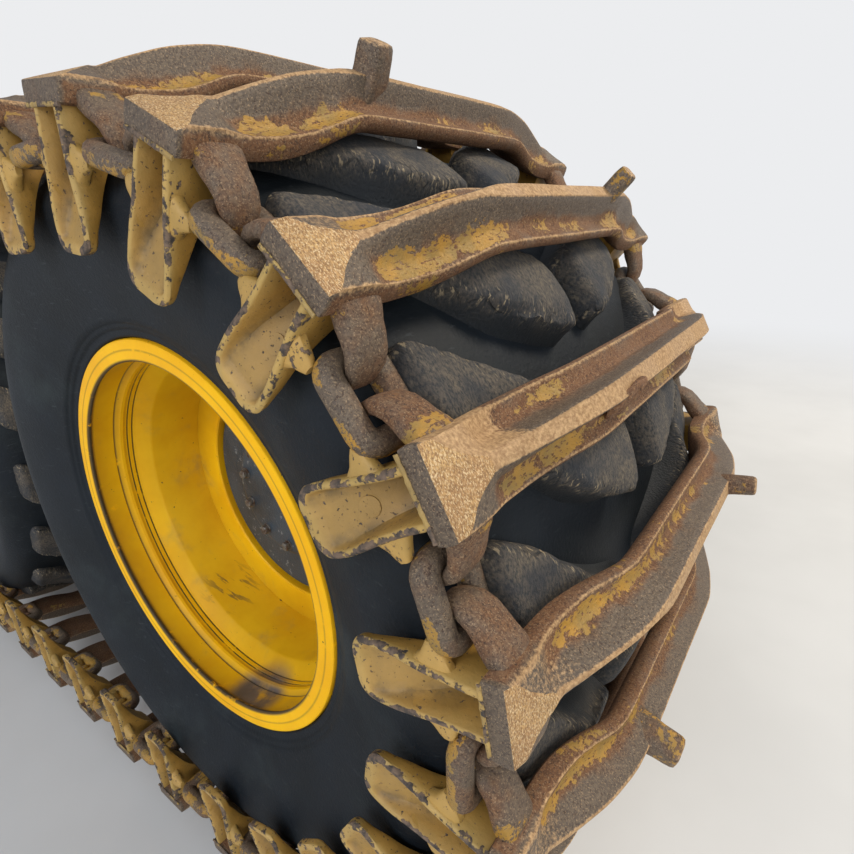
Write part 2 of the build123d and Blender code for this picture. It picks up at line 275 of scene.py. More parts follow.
def rim_enamel():
    # Pressed steel in glossy yellow enamel, dusty and deeper in the well, chipped dark along its edges
    made, tree, shader, where = started("rim_enamel")
    deep, edge = zone_masks(tree)[:2]
    cloud = patches(tree, where, 140, 0.3, 0.7)
    yellow = node(tree, "Mix", {0: cloud, 6: "#F2B000", 7: tuple(colours().rim_yellow)}, data_type="RGBA")
    ochre = node(tree, "Mix", {0: cloud, 6: "#C79A16", 7: "#D5AC1E"}, data_type="RGBA")
    yellow = node(tree, "Mix", {0: deep, 6: yellow, 7: ochre}, data_type="RGBA")
    dust = node(tree, "Math", {0: deep, 1: patches(tree, where, 60, 0.52, 0.85, 7.0)}, operation="MULTIPLY")
    yellow = node(tree, "Mix", {0: dust, 6: yellow, 7: "#A98A4A"}, data_type="RGBA")
    chips = node(tree, "Math", {0: edge, 1: patches(tree, where, 34, 0.30, 0.42, 9.0)}, operation="MULTIPLY")
    nicks = patches(tree, where, 9, 0.70, 0.72, 4.0)
    chips = node(tree, "Math", {0: chips, 1: nicks}, operation="MAXIMUM")
    # At the bottom of the front rim the enamel is scoured to rusty steel
    scoured = node(tree, "VectorMath", {0: where, 1: SCOURED_SPOT}, out="Value", operation="DISTANCE")
    scoured = node(tree, "MapRange", {"Value": scoured, "From Min": 0.085, "From Max": 0.04},
                   interpolation_type="SMOOTHSTEP")
    scoured = node(tree, "Math", {0: patches(tree, where, 60, 0.2, 0.5, 7.0), 1: scoured},
                   operation="MULTIPLY")
    inside = node(tree, "Math", {0: deep, 1: 3.0}, operation="MULTIPLY", use_clamp=True)
    scoured = node(tree, "Math", {0: scoured, 1: inside}, operation="MULTIPLY")
    steel = node(tree, "Mix", {0: cloud, 6: "#5E5248", 7: "#7B6E66"}, data_type="RGBA")
    yellow = node(tree, "Mix", {0: scoured, 6: yellow, 7: steel}, data_type="RGBA")
    # A long scrape low in the front rim's well, drawn a few millimetres wide to show
    scrape = node(tree, "Mapping", {"Vector": where, "Rotation": (0, 0.607, 0.35), "Scale": (6, 1, 1)},
                  vector_type="TEXTURE")
    near = node(tree, "VectorMath", {0: where, 1: SCRAPED_SPOT}, out="Value", operation="DISTANCE")
    near = node(tree, "MapRange", {"Value": near, "From Min": 0.075, "From Max": 0.02})
    scrape = node(tree, "Math", {0: patches(tree, scrape, 13, 0.57, 0.63, 6.0), 1: near},
                  operation="MULTIPLY")
    scrape = node(tree, "Math", {0: scrape, 1: deep}, operation="MULTIPLY")
    chips = node(tree, "Math", {0: chips, 1: scrape}, operation="MAXIMUM")
    body = node(tree, "Mix", {0: chips, 6: yellow, 7: "#473F31"}, data_type="RGBA")
    rough = node(tree, "Mix", {0: chips, 2: 0.48, 3: 0.7})
    height = node(tree, "Math", {0: patches(tree, where, 30, 0.2, 0.8, 2.0), 1: chips}, operation="SUBTRACT")
    coated(tree, shader, body, rough, height, 0.2)
    shader.inputs["Specular IOR Level"].default_value = 0.18
    shader.inputs["Coat Weight"].default_value = 0.03
    shader.inputs["Coat Roughness"].default_value = 0.25
    return made


def side_rubber():
    # Moulded tyre rubber: blue-black with fine scuffs and a breath of pale dust
    made, tree, shader, where = started("side_rubber")
    cloud = patches(tree, where, 160, 0.3, 0.7, 6.0)
    body = node(tree, "Mix", {0: cloud, 6: "#0E1418", 7: tuple(colours().tyre_black)}, data_type="RGBA")
    scuffs = node(tree, "Mapping", {"Vector": where, "Rotation": (0, 0.6, 0), "Scale": (1, 1, 5)})
    scuffs = patches(tree, scuffs, 26, 0.60, 0.72, 9.0)
    body = node(tree, "Mix", {0: scuffs, 6: body, 7: "#2C3134"}, data_type="RGBA")
    dust = node(tree, "Math", {0: patches(tree, where, 220, 0.48, 0.85, 8.0), 1: 0.25}, operation="MULTIPLY")
    body = node(tree, "Mix", {0: dust, 6: body, 7: "#5F6B69"}, data_type="RGBA")
    rough = node(tree, "Mix", {0: dust, 2: 0.6, 3: 0.9})
    coated(tree, shader, body, rough, patches(tree, where, 6, 0.3, 0.7, 8.0), 0.3)
    shader.inputs["Specular IOR Level"].default_value = 0.25
    return made


def lug_rubber():
    # Tread rubber torn by steel: dusty grey and finely scored on top, black on its sides and down the cracks
    made, tree, shader, where = started("lug_rubber")
    sunk, edge = zone_masks(tree)[::2]
    cloud = patches(tree, where, 60, 0.3, 0.7, 8.0)
    dusty = node(tree, "Mix", {0: cloud, 6: "#35363A", 7: "#706453"}, data_type="RGBA")
    slant = node(tree, "Mapping", {"Vector": where, "Rotation": (0.4, 0.9, 0.7), "Scale": (1, 1.8, 1)})
    scores = patches(tree, slant, 5, 0.3, 0.66, 8.0)
    dusty = node(tree, "Mix", {0: scores, 6: "#2A2E31", 7: dusty}, data_type="RGBA")
    cell = node(tree, "TexVoronoi", {"Vector": slant, "Scale": per_mm(40), "Randomness": 1.0},
                out="Distance", feature="DISTANCE_TO_EDGE")
    cracks = node(tree, "MapRange", {"Value": cell, "From Min": 0.01, "From Max": 0.05})
    unbroken = node(tree, "Math", {0: edge, 1: patches(tree, where, 30, 0.3, 0.7)}, operation="MULTIPLY")
    unbroken = node(tree, "Math", {0: 1.0, 1: unbroken}, operation="SUBTRACT", use_clamp=True)
    cracks = node(tree, "Math", {0: cracks, 1: unbroken}, operation="MAXIMUM")
    body = node(tree, "Mix", {0: cracks, 6: "#17191B", 7: dusty}, data_type="RGBA")
    # Rubber drawn out into pale fibres where the steel's edges tear it
    fibres = node(tree, "Mapping", {"Vector": where, "Rotation": (0.9, 0.3, 0.6), "Scale": (1, 3.5, 1)})
    torn = node(tree, "Math", {0: edge, 1: patches(tree, fibres, 12, 0.55, 0.66, 6.0)}, operation="MULTIPLY")
    body = node(tree, "Mix", {0: torn, 6: body, 7: "#A39274"}, data_type="RGBA")
    body = node(tree, "Mix", {0: sunk, 6: body, 7: "#1B2024"}, data_type="RGBA")
    rough = node(tree, "Mix", {0: sunk, 2: 0.85, 3: 0.65})
    height = node(tree, "Math", {0: scores, 1: 0.35, 2: cracks}, operation="MULTIPLY_ADD")
    coated(tree, shader, body, rough, height, 1.8)
    return made


def case_paint(name, colour, scratch_share):
    # Cast iron in dark satin paint: sand-cast grain, scratches to grey metal, a bloom of dry mud
    made, tree, shader, where = started(name)
    cloud = patches(tree, where, 120, 0.3, 0.7, 6.0)
    body = node(tree, "Mix", {0: cloud, 6: "#2B3034", 7: colour}, data_type="RGBA")
    scratch = node(tree, "Mapping", {"Vector": where, "Rotation": (0.3, 0.5, 0.2), "Scale": (1, 6, 1)})
    scratch = node(tree, "Math", {0: patches(tree, scratch, 14, 0.60, 0.66, 9.0), 1: scratch_share},
                   operation="MULTIPLY")
    body = node(tree, "Mix", {0: scratch, 6: body, 7: "#8C8F8E"}, data_type="RGBA")
    mud = patches(tree, where, 80, 0.56, 0.72, 8.0)
    mud_share = node(tree, "Math", {0: mud, 1: 0.4}, operation="MULTIPLY")
    body = node(tree, "Mix", {0: mud_share, 6: body, 7: tuple(colours().dry_mud)}, data_type="RGBA")
    rough = node(tree, "Mix", {0: mud, 2: 0.5, 3: 0.85})
    coated(tree, shader, body, rough, patches(tree, where, 5, 0.3, 0.7, 5.0), 0.4)
    return made


def turned_steel():
    # Turned and ground shaft steel: the tool's fine rings, drawn 6 mm apart to show, dulled by oil
    made, tree, shader, where = started("turned_steel")
    rings = node(tree, "TexWave", {"Vector": where, "Scale": per_mm(20), "Distortion": 1.0, "Detail": 3.0},
                 out="Fac", bands_direction="Y")
    body = node(tree, "Mix", {0: rings, 6: "#7B7D7F", 7: "#A9ABAC"}, data_type="RGBA")
    oil = patches(tree, where, 30, 0.55, 0.75)
    body = node(tree, "Mix", {0: oil, 6: body, 7: "#5B4A38"}, data_type="RGBA")
    rough = node(tree, "Mix", {0: oil, 2: 0.3, 3: 0.5})
    coated(tree, shader, body, rough, rings, 0.06)
    shader.inputs["Metallic"].default_value = 0.9
    return made


def seal_lip():
    # Nitrile rubber, moulded smooth and shiny with grease
    made, tree, shader, where = started("seal_lip")
    grease = patches(tree, where, 12, 0.4, 0.7)
    body = node(tree, "Mix", {0: grease, 6: "#1A1A1A", 7: "#2F2B25"}, data_type="RGBA")
    rough = node(tree, "Mix", {0: grease, 2: 0.55, 3: 0.3})
    coated(tree, shader, body, rough, patches(tree, where, 3, 0.3, 0.7), 0.08)
    return made


def bolt_steel():
    # Zinc-plated bolts gone dull, rusty in the corners
    made, tree, shader, where = started("bolt_steel")
    rust = patches(tree, where, 10, 0.4, 0.65, 6.0)
    body = node(tree, "Mix", {0: rust, 6: "#77756F", 7: "#5A4433"}, data_type="RGBA")
    rough = node(tree, "Mix", {0: rust, 2: 0.42, 3: 0.8})
    coated(tree, shader, body, rough, patches(tree, where, 2, 0.3, 0.7, 5.0), 0.2)
    shader.inputs["Metallic"].default_value = 0.6
    return made


finishes = {}


# Shapes

def on_track(travel):
    """The place on the loop after this travel from the front wheel's top: X along it and Z outwards."""
    arc = math.pi * LINK_LINE_RADIUS
    travel %= LOOP_LENGTH
    if travel < arc:
        x, turn = HALF_BASE, travel / LINK_LINE_RADIUS
    elif travel < arc + 2 * HALF_BASE:
        x, turn = HALF_BASE - (travel - arc), math.pi
    elif travel < 2 * arc + 2 * HALF_BASE:
        x, turn = -HALF_BASE, math.pi + (travel - arc - 2 * HALF_BASE) / LINK_LINE_RADIUS
    else:
        x, turn = travel - 2 * arc - 3 * HALF_BASE, 0.0
    place = Vector((x, CENTRE_Y, WHEEL_Z)) * MM
    return Matrix.Translation(place) @ Matrix.Rotation(turn, 4, "Y")


def shoe_places(offset=0.0):
    """Where each shoe stands, or the middle of each link with an offset of half a pitch."""
    count = settings().shoe_count
    pitch = LOOP_LENGTH / count
    return [on_track(FIRST_SHOE_TRAVEL + (number - 1 + offset) * pitch) for number in range(count)]


def between(table, place):
    """The values at a place on a smooth curve through a table's rows, whose first column is the place."""
    if place <= table[0][0]:
        return table[0][1:]
    if place >= table[-1][0]:
        return table[-1][1:]
    upper = next(number for number, row in enumerate(table) if row[0] > place)
    first, second = table[upper - 1], table[upper]
    before = table[max(upper - 2, 0)]
    after = table[min(upper + 1, len(table) - 1)]
    span = second[0] - first[0]
    part = (place - first[0]) / span
    square, cube = part ** 2, part ** 3
    out = []
    for column in range(1, len(first)):
        low_slope = (second[column] - before[column]) / (second[0] - before[0]) * span
        high_slope = (after[column] - first[column]) / (after[0] - first[0]) * span
        out.append((2 * cube - 3 * square + 1) * first[column] + (cube - 2 * square + part) * low_slope
                   + (3 * square - 2 * cube) * second[column] + (cube - square) * high_slope)
    return out


def ramp(value, low, high):
    """0 below low, 1 above high and smooth between."""
    part = min(1.0, max(0.0, (value - low) / (high - low)))
    return part * part * (3 - 2 * part)


def lofted(bm, sections, zone_rows):
    """Extrudes a closed outline through its sections, each a list of points in millimetres."""
    zone = bm.verts.layers.float_color["zone"]
    face = bm.faces.new([bm.verts.new(point) for point in sections[0]])
    for number, section in enumerate(sections):
        if number:
            grown = bmesh.ops.extrude_face_region(bm, geom=[face, *face.edges])["geom"]
            face = next(item for item in grown if isinstance(item, bmesh.types.BMFace))
        for vert, point, row in zip(face.verts, section, zone_rows[number]):
            vert.co = point
            vert[zone] = (*row, 1.0)


def soft_outline(width, height, squareness, points):
    """The outline of a soft-cornered bar, as (across, up) pairs."""
    out = []
    for number in range(points):
        turn = 2 * math.pi * (number + 0.5) / points
        across = math.copysign(abs(math.cos(turn)) ** squareness, math.cos(turn)) * width / 2
        up = math.copysign(abs(math.sin(turn)) ** squareness, math.sin(turn)) * height / 2
        out.append((across, up))
    return out


def new_bmesh():
    bm = bmesh.new()
    bm.verts.layers.float_color.new("zone")
    return bm


def template(bm, name):
    """Keeps a shape drawn in millimetres as a mesh in metres, for copies."""
    bmesh.ops.recalc_face_normals(bm, faces=bm.faces)
    bmesh.ops.scale(bm, vec=(MM, MM, MM), verts=bm.verts)
    mesh = bpy.data.meshes.new(name)
    bm.to_mesh(mesh)
    bm.free()
    return mesh


def copied(pattern, places, wave=0.0, wave_size=55.0, seed=0, onto=None):
    """One mesh with a copy at each place, each forged a little unevenly in its own way."""
    bm = onto or bmesh.new()
    rough = random.Random(seed)
    for place in places:
        start = len(bm.verts)
        bm.from_mesh(pattern)
        bm.verts.ensure_lookup_table()
        new = bm.verts[start:]
        shift = Vector((rough.uniform(0, 90), rough.uniform(0, 90), rough.uniform(0, 90)))
        if wave:
            for vert in new:
                spot = vert.co * per_mm(wave_size) + shift
                vert.co += (noise.noise_vector(spot) + noise.noise_vector(spot * 4.1) * 0.3) * wave * MM
        bmesh.ops.transform(bm, matrix=place, verts=new)
    return bm


def finished_piece(name, bm, materials, body, stands_for=(), sharp=38):
    """Makes the piece, smooth but for its sharp edges, riding on its body in place of its CAD nodes."""
    mesh = bpy.data.meshes.new(name)
    bm.to_mesh(mesh)
    bm.free()
    mesh.polygons.foreach_set("use_smooth", [True] * len(mesh.polygons))
    mesh.set_sharp_from_angle(angle=math.radians(sharp))
    for material in materials:
        mesh.materials.append(finishes[material])
    piece = bpy.data.objects.new(name, mesh)
    bpy.context.scene.collection.objects.link(piece)
    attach(piece, body)
    if stands_for:
        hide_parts(*stands_for)


def spun(name, profile, x, steps, zone_rows, material, body, stands_for=(), sharp=30, closed=True):
    """A body of revolution about a wheel's axis, from (y, radius) points in order round its section."""
    bm = new_bmesh()
    zone = bm.verts.layers.float_color["zone"]
    verts = [bm.verts.new((0, y, radius)) for y, radius in profile]
    for vert, row in zip(verts, zone_rows):
        vert[zone] = (*row, 0.0, 1.0)
    edges = [bm.edges.new(pair) for pair in zip(verts, verts[1:])]
    if closed:
        edges.append(bm.edges.new((verts[-1], verts[0])))
    bmesh.ops.spin(bm, geom=verts + edges, cent=(0, 0, 0), axis=(0, 1, 0), angle=2 * math.pi, steps=steps,
                   use_merge=True)
    bmesh.ops.remove_doubles(bm, verts=bm.verts, dist=0.01)
    bmesh.ops.recalc_face_normals(bm, faces=bm.faces)
    bmesh.ops.translate(bm, vec=(x, 0, WHEEL_Z), verts=bm.verts)
    bmesh.ops.scale(bm, vec=(MM, MM, MM), verts=bm.verts)
    finished_piece(name, bm, [material], body, stands_for, sharp)


# Band track

# From the centre plane: underside, low and high line of the base flange's edge, crest, half the crest's worn
# width, share of paint kept in the hollows
SHOE_STATIONS = (
    (0, 693.6, 705, 720, 754, 8.5, 0.66),
    (140, 693.6, 705, 720, 754, 9.5, 0.72),
    (185, 693.6, 703, 719, 753, 8, 0.85),
    (212, 688, 694, 713, 750, 4, 1.0),
    (240, 676, 681, 702, 745, 2.2, 1.1),
    (270, 666, 669, 692, 738, 1.8, 1.15),
    (300, 659.5, 660.5, 686.5, 728, 1.8, 1.15),
    (330, 656.5, 657, 683.5, 717, 1.8, 1.15),
    (352, 656, 656, 682.5, 708.5, 2.2, 1.05),
    (372, 656, 656, 682.5, 701, 4, 0.6),
    (395, 656, 656, 682.6, 699, 6, 0.0),
    (429, 656, 656, 682.6, 698, 6, 0.0),
)
# Half the crest's width where it has worn down further
WORN_CREST = ((-429, 6), (-372, 6), (-300, 8), (-200, 10), (100, 11.5), (300, 13), (429, 13))
# Half the outline: share of half the length, base (0 underside, 1 low line, 2 high line, 3 crest), the part
# of the way to the next one, then hollow, rubbed, ground
SHOE_OUTLINE = (
    (0.55, 0, 0.0, 0.15, 0.1, 0.0),
    (0.86, 0, 0.5, 0.2, 0.1, 0.0),
    (0.98, 1, 0.1, 0.42, 0.1, 0.0),
    (1.01, 1, 0.4, 0.46, 0.1, 0.0),
    (1.0, 1, 0.75, 0.4, 0.1, 0.05),
    (0.94, 1, 0.97, 0.2, 0.3, 0.82),
    (0.80, 1, 0.96, 0.85, 0.1, 0.0),
    (0.57, 1, 0.96, 1.0, 0.0, 0.0),
    (0.43, 2, 0.10, 0.75, 0.1, 0.0),
    (0.34, 2, 0.36, 0.3, 0.6, 0.0),
    (0.26, 2, 0.70, 0.1, 0.8, 0.0),
    (0.20, 2, 0.92, 0.0, 0.9, 0.1),
    (0.14, 2, 1.0, 0.0, 0.4, 1.0),
)
# The same points near the shoe's end, as height above the plate's underside
END_OUTLINE = (0, 0, 2, 10, 20, 30.6, 33, 36, 38.8, 41.2, 43.6, 45.6, 47)
# From the middle of a shoe: where the bar starts to turn into the end plate and where it has
PLATE_START = (345, 382)
# Shares of half the length at the outer edge of the crest and at the foot of the flank
CREST_SHARE = 0.14
FLANK_FOOT = 0.43
# How much a ground end falls for each millimetre outwards
FACET_SLOPE = 0.37


def shoe_section(side, worn):
    """The cross bar's outline at one station: base flange, hollow, steep flank and narrow crest."""
    half = settings().shoe_length / MM / 2
    *lines, crest, kept = between(SHOE_STATIONS, abs(side))
    if worn:
        crest = max(crest, between(WORN_CREST, side)[0])
    end = ramp(abs(side), *PLATE_START)
    right, rows = [], []
    for (share, base, part, hollow, rubbed, ground), end_height in zip(SHOE_OUTLINE, END_OUTLINE):
        up = lines[base] + part * (lines[min(base + 1, 3)] - lines[base])
        up += (lines[0] + end_height - up) * end
        along = share * half
        if share < FLANK_FOOT:
            down = (share - CREST_SHARE) / (FLANK_FOOT - CREST_SHARE)
            along = crest + down * (FLANK_FOOT * half - crest)
        right.append((along, side, up))
        if up > lines[1] + 25:
            rubbed = max(rubbed, 0.7 * end)
        rows.append((hollow * kept * (1 - end), rubbed, ground))
    left = [(-along, side, up) for along, side, up in reversed(right)]
    # The flank that leads down the wheel is ground as well beside the flat end, and a worn shoe's right down
    # its flange, where paint is left in one pocket
    lead = (0.95 if worn else 0.5) * ramp(abs(side), 300, 340 if worn else 350)
    pocket = ramp(abs(side), 150, 200) * (1 - ramp(abs(side), 290, 310)) if worn else 1.0
    led = [(hollow * pocket, rubbed, max(ground, lead if up > lines[1] + (8 if worn else 22) else 0))
           for (hollow, rubbed, ground), (along, side, up) in zip(rows, right)]
    return right + left, rows + led[::-1]


# Along the track, height, width across, thickness of the hooks that the rings hang on
HOOK_STATIONS = (
    (24, 668, 58, 20),
    (36, 667, 57, 24),
    (46, 659.5, 55, 26),
    (56, 652, 52, 24.5),
    (67, 646, 50, 22),
    (77, 638.5, 49, 20),
    (84, 628, 47, 18.5),
    (87, 616.5, 38, 17),
    (87, 607, 33.5, 15),
    (86, 600.5, 27, 11),
    (85.5, 598.5, 17, 5),
)


def hook(bm, track_side, side):
    """A tongue that leaves a corner of the end plate and curls down inside a ring."""
    sections = []
    for number, (along, up, width, thick) in enumerate(HOOK_STATIONS):
        before = HOOK_STATIONS[max(number - 1, 0)]
        after = HOOK_STATIONS[min(number + 1, len(HOOK_STATIONS) - 1)]
        run = Vector((after[0] - before[0], after[1] - before[1])).normalized()
        sections.append([(track_side * (along - run.y * lift), side * HOOK_PLACE + across, up + run.x * lift)
                         for across, lift in soft_outline(width, thick, 0.6, 16)])
    kept = (0.3, 0.45, 0.66, 0.3, 0.15, 0.15, 0.4, 0.62, 0.72, 0.72, 0.72)
    lofted(bm, sections, [[(share, 0.35, 0.0)] * 16 for share in kept])


def shoe_template(worn):
    """A whole shoe: the arched bar, its flat ground ends and the four hooks."""
    bm = new_bmesh()
    half_spread = [429, 421, 412, 403, 395, 388, 381, 375, 369, 362, 352, 341, 329, 316, 303, 290, 277, 264,
                   251, 238, 225, 212, 198, 182, 160, 135, 105, 70, 35]
    spread = [-place for place in half_spread] + [0] + half_spread[::-1]
    sections = [shoe_section(place, worn) for place in spread]
    lofted(bm, [points for points, rows in sections], [rows for points, rows in sections])
    for side in (-1, 1):
        slope = Vector((0, side * FACET_SLOPE, 1)).normalized()
        cut = bmesh.ops.bisect_plane(bm, geom=bm.verts[:] + bm.edges[:] + bm.faces[:], dist=0.001,
                                     plane_co=(0, side * SHOE_HALF_WIDTH, PLATE_TOP), plane_no=slope,
                                     clear_outer=True)
        rim = [item for item in cut["geom_cut"] if isinstance(item, bmesh.types.BMEdge)]
        facets = bmesh.ops.holes_fill(bm, edges=rim, sides=0)["faces"]
        for facet in facets:
            facet.material_index = 1
        ends = [face for face in bm.faces
                if all(vert.co.y * side > SHOE_HALF_WIDTH - 0.1 for vert in face.verts)]
        edges = dict.fromkeys(edge for face in facets + ends for edge in face.edges
                              if all(vert.co.y * side > PLATE_START[1] + 2 for vert in edge.verts))
        bmesh.ops.bevel(bm, geom=list(edges), offset=1.6, offset_type="OFFSET", segments=2, profile=0.5,
                        affect="EDGES", material=-1)
    zone = bm.verts.layers.float_color["zone"]
    for vert in bm.verts:
        if abs(vert.co.y) > SHOE_HALF_WIDTH - 3:
            vert[zone] = (0.0, 0.75, 0.1, 1.0)
    for side in (-1, 1):
        hook(bm, 1, side)
        hook(bm, -1, side)
    return template(bm, "shoe_template")


# Side of the stud on each shoe in turn, or none
STUD_SIDES = (-1, 0, -1, 1, 0, 1)
# From the middle of a shoe along it, and up from the wheel's axis
STUD_PLACE = 150
CREST_HEIGHT = 753
# The shoe in each six whose crest has worn down further and whose stud has broken off its weld
WORN_SHOE = 4


def stud_template(squareness, size):
    """A stud welded to the crest: a thick foot, a tapered shank and a worn top."""
    bm = new_bmesh()
    sections, rows = [], []
    for up, long, wide, ground in ((-34, 0.75, 1.5, 0.0), (-20, 0.86, 1.42, 0.0), (-9, 0.95, 1.28, 0.0),
                                   (-1, 1.0, 1.12, 0.0), (8, 1.0, 1.03, 0.1), (22, 0.99, 1.0, 0.1),
                                   (31, 0.95, 0.96, 0.3), (35, 0.87, 0.88, 0.6), (36.5, 0.66, 0.66, 0.7)):
        sections.append([(along, side, up) for along, side in
                         soft_outline(size * long, size * wide, squareness, 16)])
        rows.append([(0.4, 0.5, ground)] * 16)
    lofted(bm, sections, rows)
    return template(bm, "stud_template")


def scar_template():
    """The torn weld where a stud broke off: a low ragged lump over the crest and down one flank."""
    bm = new_bmesh()
    lump = bmesh.ops.create_uvsphere(bm, u_segments=36, v_segments=16, radius=1.0)["verts"]
    bmesh.ops.scale(bm, vec=(26, 50, 7.5), verts=lump)
    bmesh.ops.rotate(bm, cent=(0, 0, 0), matrix=Matrix.Rotation(1.05, 3, "Y"), verts=lump)
    bmesh.ops.translate(bm, vec=(14, 0, -16), verts=lump)
    zone = bm.verts.layers.float_color["zone"]
    for vert in lump:
        vert.co += noise.noise_vector(vert.co / 11) * 4 + noise.noise_vector(vert.co / 4) * 1.2
        vert[zone] = (0.35, 0.0, 0.0, 1.0)
    return template(bm, "scar_template")


class BOGIE_OT_shoes(bpy.types.Operator):
    """Builds the forged cross bars with their ground ends and hooks, and the studs on their crests"""
    bl_idname = "bogie.shoes"
    bl_label = "Track shoes"

    def execute(self, context):
        places = shoe_places()
        wave = settings().forging_wave / MM
        sharp = [place for number, place in enumerate(places) if number % len(STUD_SIDES) != WORN_SHOE]
        worn = places[WORN_SHOE::len(STUD_SIDES)]
        bm = copied(shoe_template(False), sharp, wave, wave_size=90, seed=3)
        copied(shoe_template(True), worn, wave, wave_size=90, seed=4, onto=bm)
        torn = Matrix.Translation(Vector((2, -STUD_PLACE, CREST_HEIGHT)) * MM)
        copied(scar_template(), [place @ torn for place in worn], 1.5, wave_size=25, seed=8, onto=bm)
        finished_piece("cross_bars", bm, ["forged_steel", "ground_steel"], "bogie",
                       ["track_shoes"], 40)
        lean = random.Random(11)
        for side, squareness, size, name in ((-1, 0.4, 37, "square_studs"), (1, 0.85, 29, "pin_studs")):
            stood = []
            for number, place in enumerate(places):
                if STUD_SIDES[number % len(STUD_SIDES)] == side:
                    spot = Matrix.Translation(Vector((0, side * STUD_PLACE, CREST_HEIGHT)) * MM)
                    tilt = Matrix.Rotation(lean.uniform(-0.1, 0.1), 4, "X")
                    stood.append(place @ spot @ tilt @ Matrix.Rotation(lean.uniform(0, 0.5), 4, "Z"))
            bm = copied(stud_template(squareness, size), stood, 0.9, wave_size=18, seed=5)
            finished_piece(name, bm, ["forged_steel"], "bogie", ["track_studs"], 40)
        return {"FINISHED"}


def ring_template():
    """An oblong ring bent from thick bar, with old paint on its sheltered side."""
    bar = settings().ring_bar / MM
    half_long, half_wide, corner = 42.0, 31.0, 15.5
    centres = []
    for side_x, side_y, start in ((1, 1, 0), (-1, 1, 90), (-1, -1, 180), (1, -1, 270)):
        for step in range(6):
            turn = math.radians(start + 18 * step)
            centres.append(Vector((side_x * (half_long - corner) + corner * math.cos(turn),
                                   side_y * (half_wide - corner) + corner * math.sin(turn), 0)))
    bm = new_bmesh()
    sections, rows = [], []
    for number, centre in enumerate(centres):
        run = (centres[(number + 1) % len(centres)] - centres[number - 1]).normalized()
        out = Vector((run.y, -run.x, 0))
        outline = soft_outline(bar, bar, 0.85, 16)
        sections.append([centre + out * across + Vector((0, 0, up)) for across, up in outline])
        inwards = 1 if centre.y < 0 else -1
        sheltered = [across * inwards > 2 and up < 4 for across, up in outline]
        rows.append([(0.78 if kept else 0.25, 0.55, 0.0) for kept in sheltered])
    lofted(bm, sections, rows)
    ends = [face for face in bm.faces if len(face.verts) == 16]
    rims = [edge for face in ends for edge in face.edges]
    bmesh.ops.delete(bm, geom=ends, context="FACES_ONLY")
    bmesh.ops.bridge_loops(bm, edges=rims)
    return template(bm, "ring_template")


RING_HEIGHT = 614
# How far a ring on an upright stretch of the track drops on its hooks
RING_SLACK = 7


class BOGIE_OT_rings(bpy.types.Operator):
    """Hangs the oblong rings that join the shoes at both edges of the track"""
    bl_idname = "bogie.rings"
    bl_label = "Track rings"

    def execute(self, context):
        ring = ring_template()
        for side, name in ((-1, "outer"), (1, "inner")):
            loose = random.Random(21 + side)
            places = []
            for place in shoe_places(0.5):
                along = (place.to_3x3() @ Vector((1, 0, 0))).z
                slack = -RING_SLACK * along + loose.uniform(-1.5, 1.5)
                spot = Matrix.Translation(Vector((slack, side * HOOK_PLACE, RING_HEIGHT)) * MM)
                tilt = Matrix.Rotation(loose.uniform(-0.05, 0.05), 4, "X")
                places.append(place @ spot @ tilt)
            bm = copied(ring, places, 0.7, wave_size=30, seed=31 + side)
            finished_piece(name + "_rings", bm, ["ring_steel"], "bogie",
                           [name + "_links"], 40)
        return {"FINISHED"}


# Height from the wheel's axis, half the tray's length, how deep its back lies behind the lip
TRAY_STATIONS = (
    (494, 20, 9),
    (495, 26, 11),
    (497, 31, 12.5),
    (500, 35, 14),
    (505, 38.5, 15),
    (512, 40.5, 16),
    (522, 41, 17.5),
    (540, 40.5, 24),
    (562, 38, 32),
    (585, 34.5, 43),
    (605, 32.5, 56),
    (628, 31, 73),
    (657, 30.5, 80),
)


def tray_section(up):
    """A tray's outline at one height: lips, walls, back and a floor that rounds into the walls."""
    half, back = between(TRAY_STATIONS, up)
    lip = 9.0
    pocket = ramp(up, 502, 516)
    floor = max(back - 7.5, 1.0) * pocket
    inner = max(half - lip - 10 * (1 - ramp(up, 500, 514)), 6.0)
    right = [
        (half * 0.86, back, 0.0, 0.2, 0.0), (half * 0.95, back * 0.8, 0.0, 0.1, 0.0),
        (half - 1, back * 0.4, 0.1, 0.3, 0.0), (half, min(4.0, back * 0.3), 0.1, 0.9, 0.0),
        (half - 1.6, 1.2, 0.0, 1.0, 0.0), (half - 4.2, 0.0, 0.0, 1.0, 0.0),
        (min(inner + 1.6, half - 6), 0.6 * pocket, 0.1, 0.9, 0.0), (inner, 2.6 * pocket, 0.3, 0.5, 0.1),
        (inner - 1.4, floor * 0.42, 0.6, 0.1, 0.3), (inner - 3.2, floor * 0.72, 0.8, 0.0, 0.7),
        (inner - 6.0, floor * 0.92, 1.0, 0.0, 0.8), (inner * 0.45, floor, 1.0, 0.0, 0.2),
    ]
    left = [(-along, deep, *zone) for along, deep, *zone in reversed(right)]
    outline = right + left
    lipped = 1 - pocket
    points = [(along, deep, up) for along, deep, *zone in outline]
    rows = [(floor_share * pocket, max(edge, lipped * 0.8), corner * pocket)
            for along, deep, floor_share, edge, corner in outline]
    return points, rows


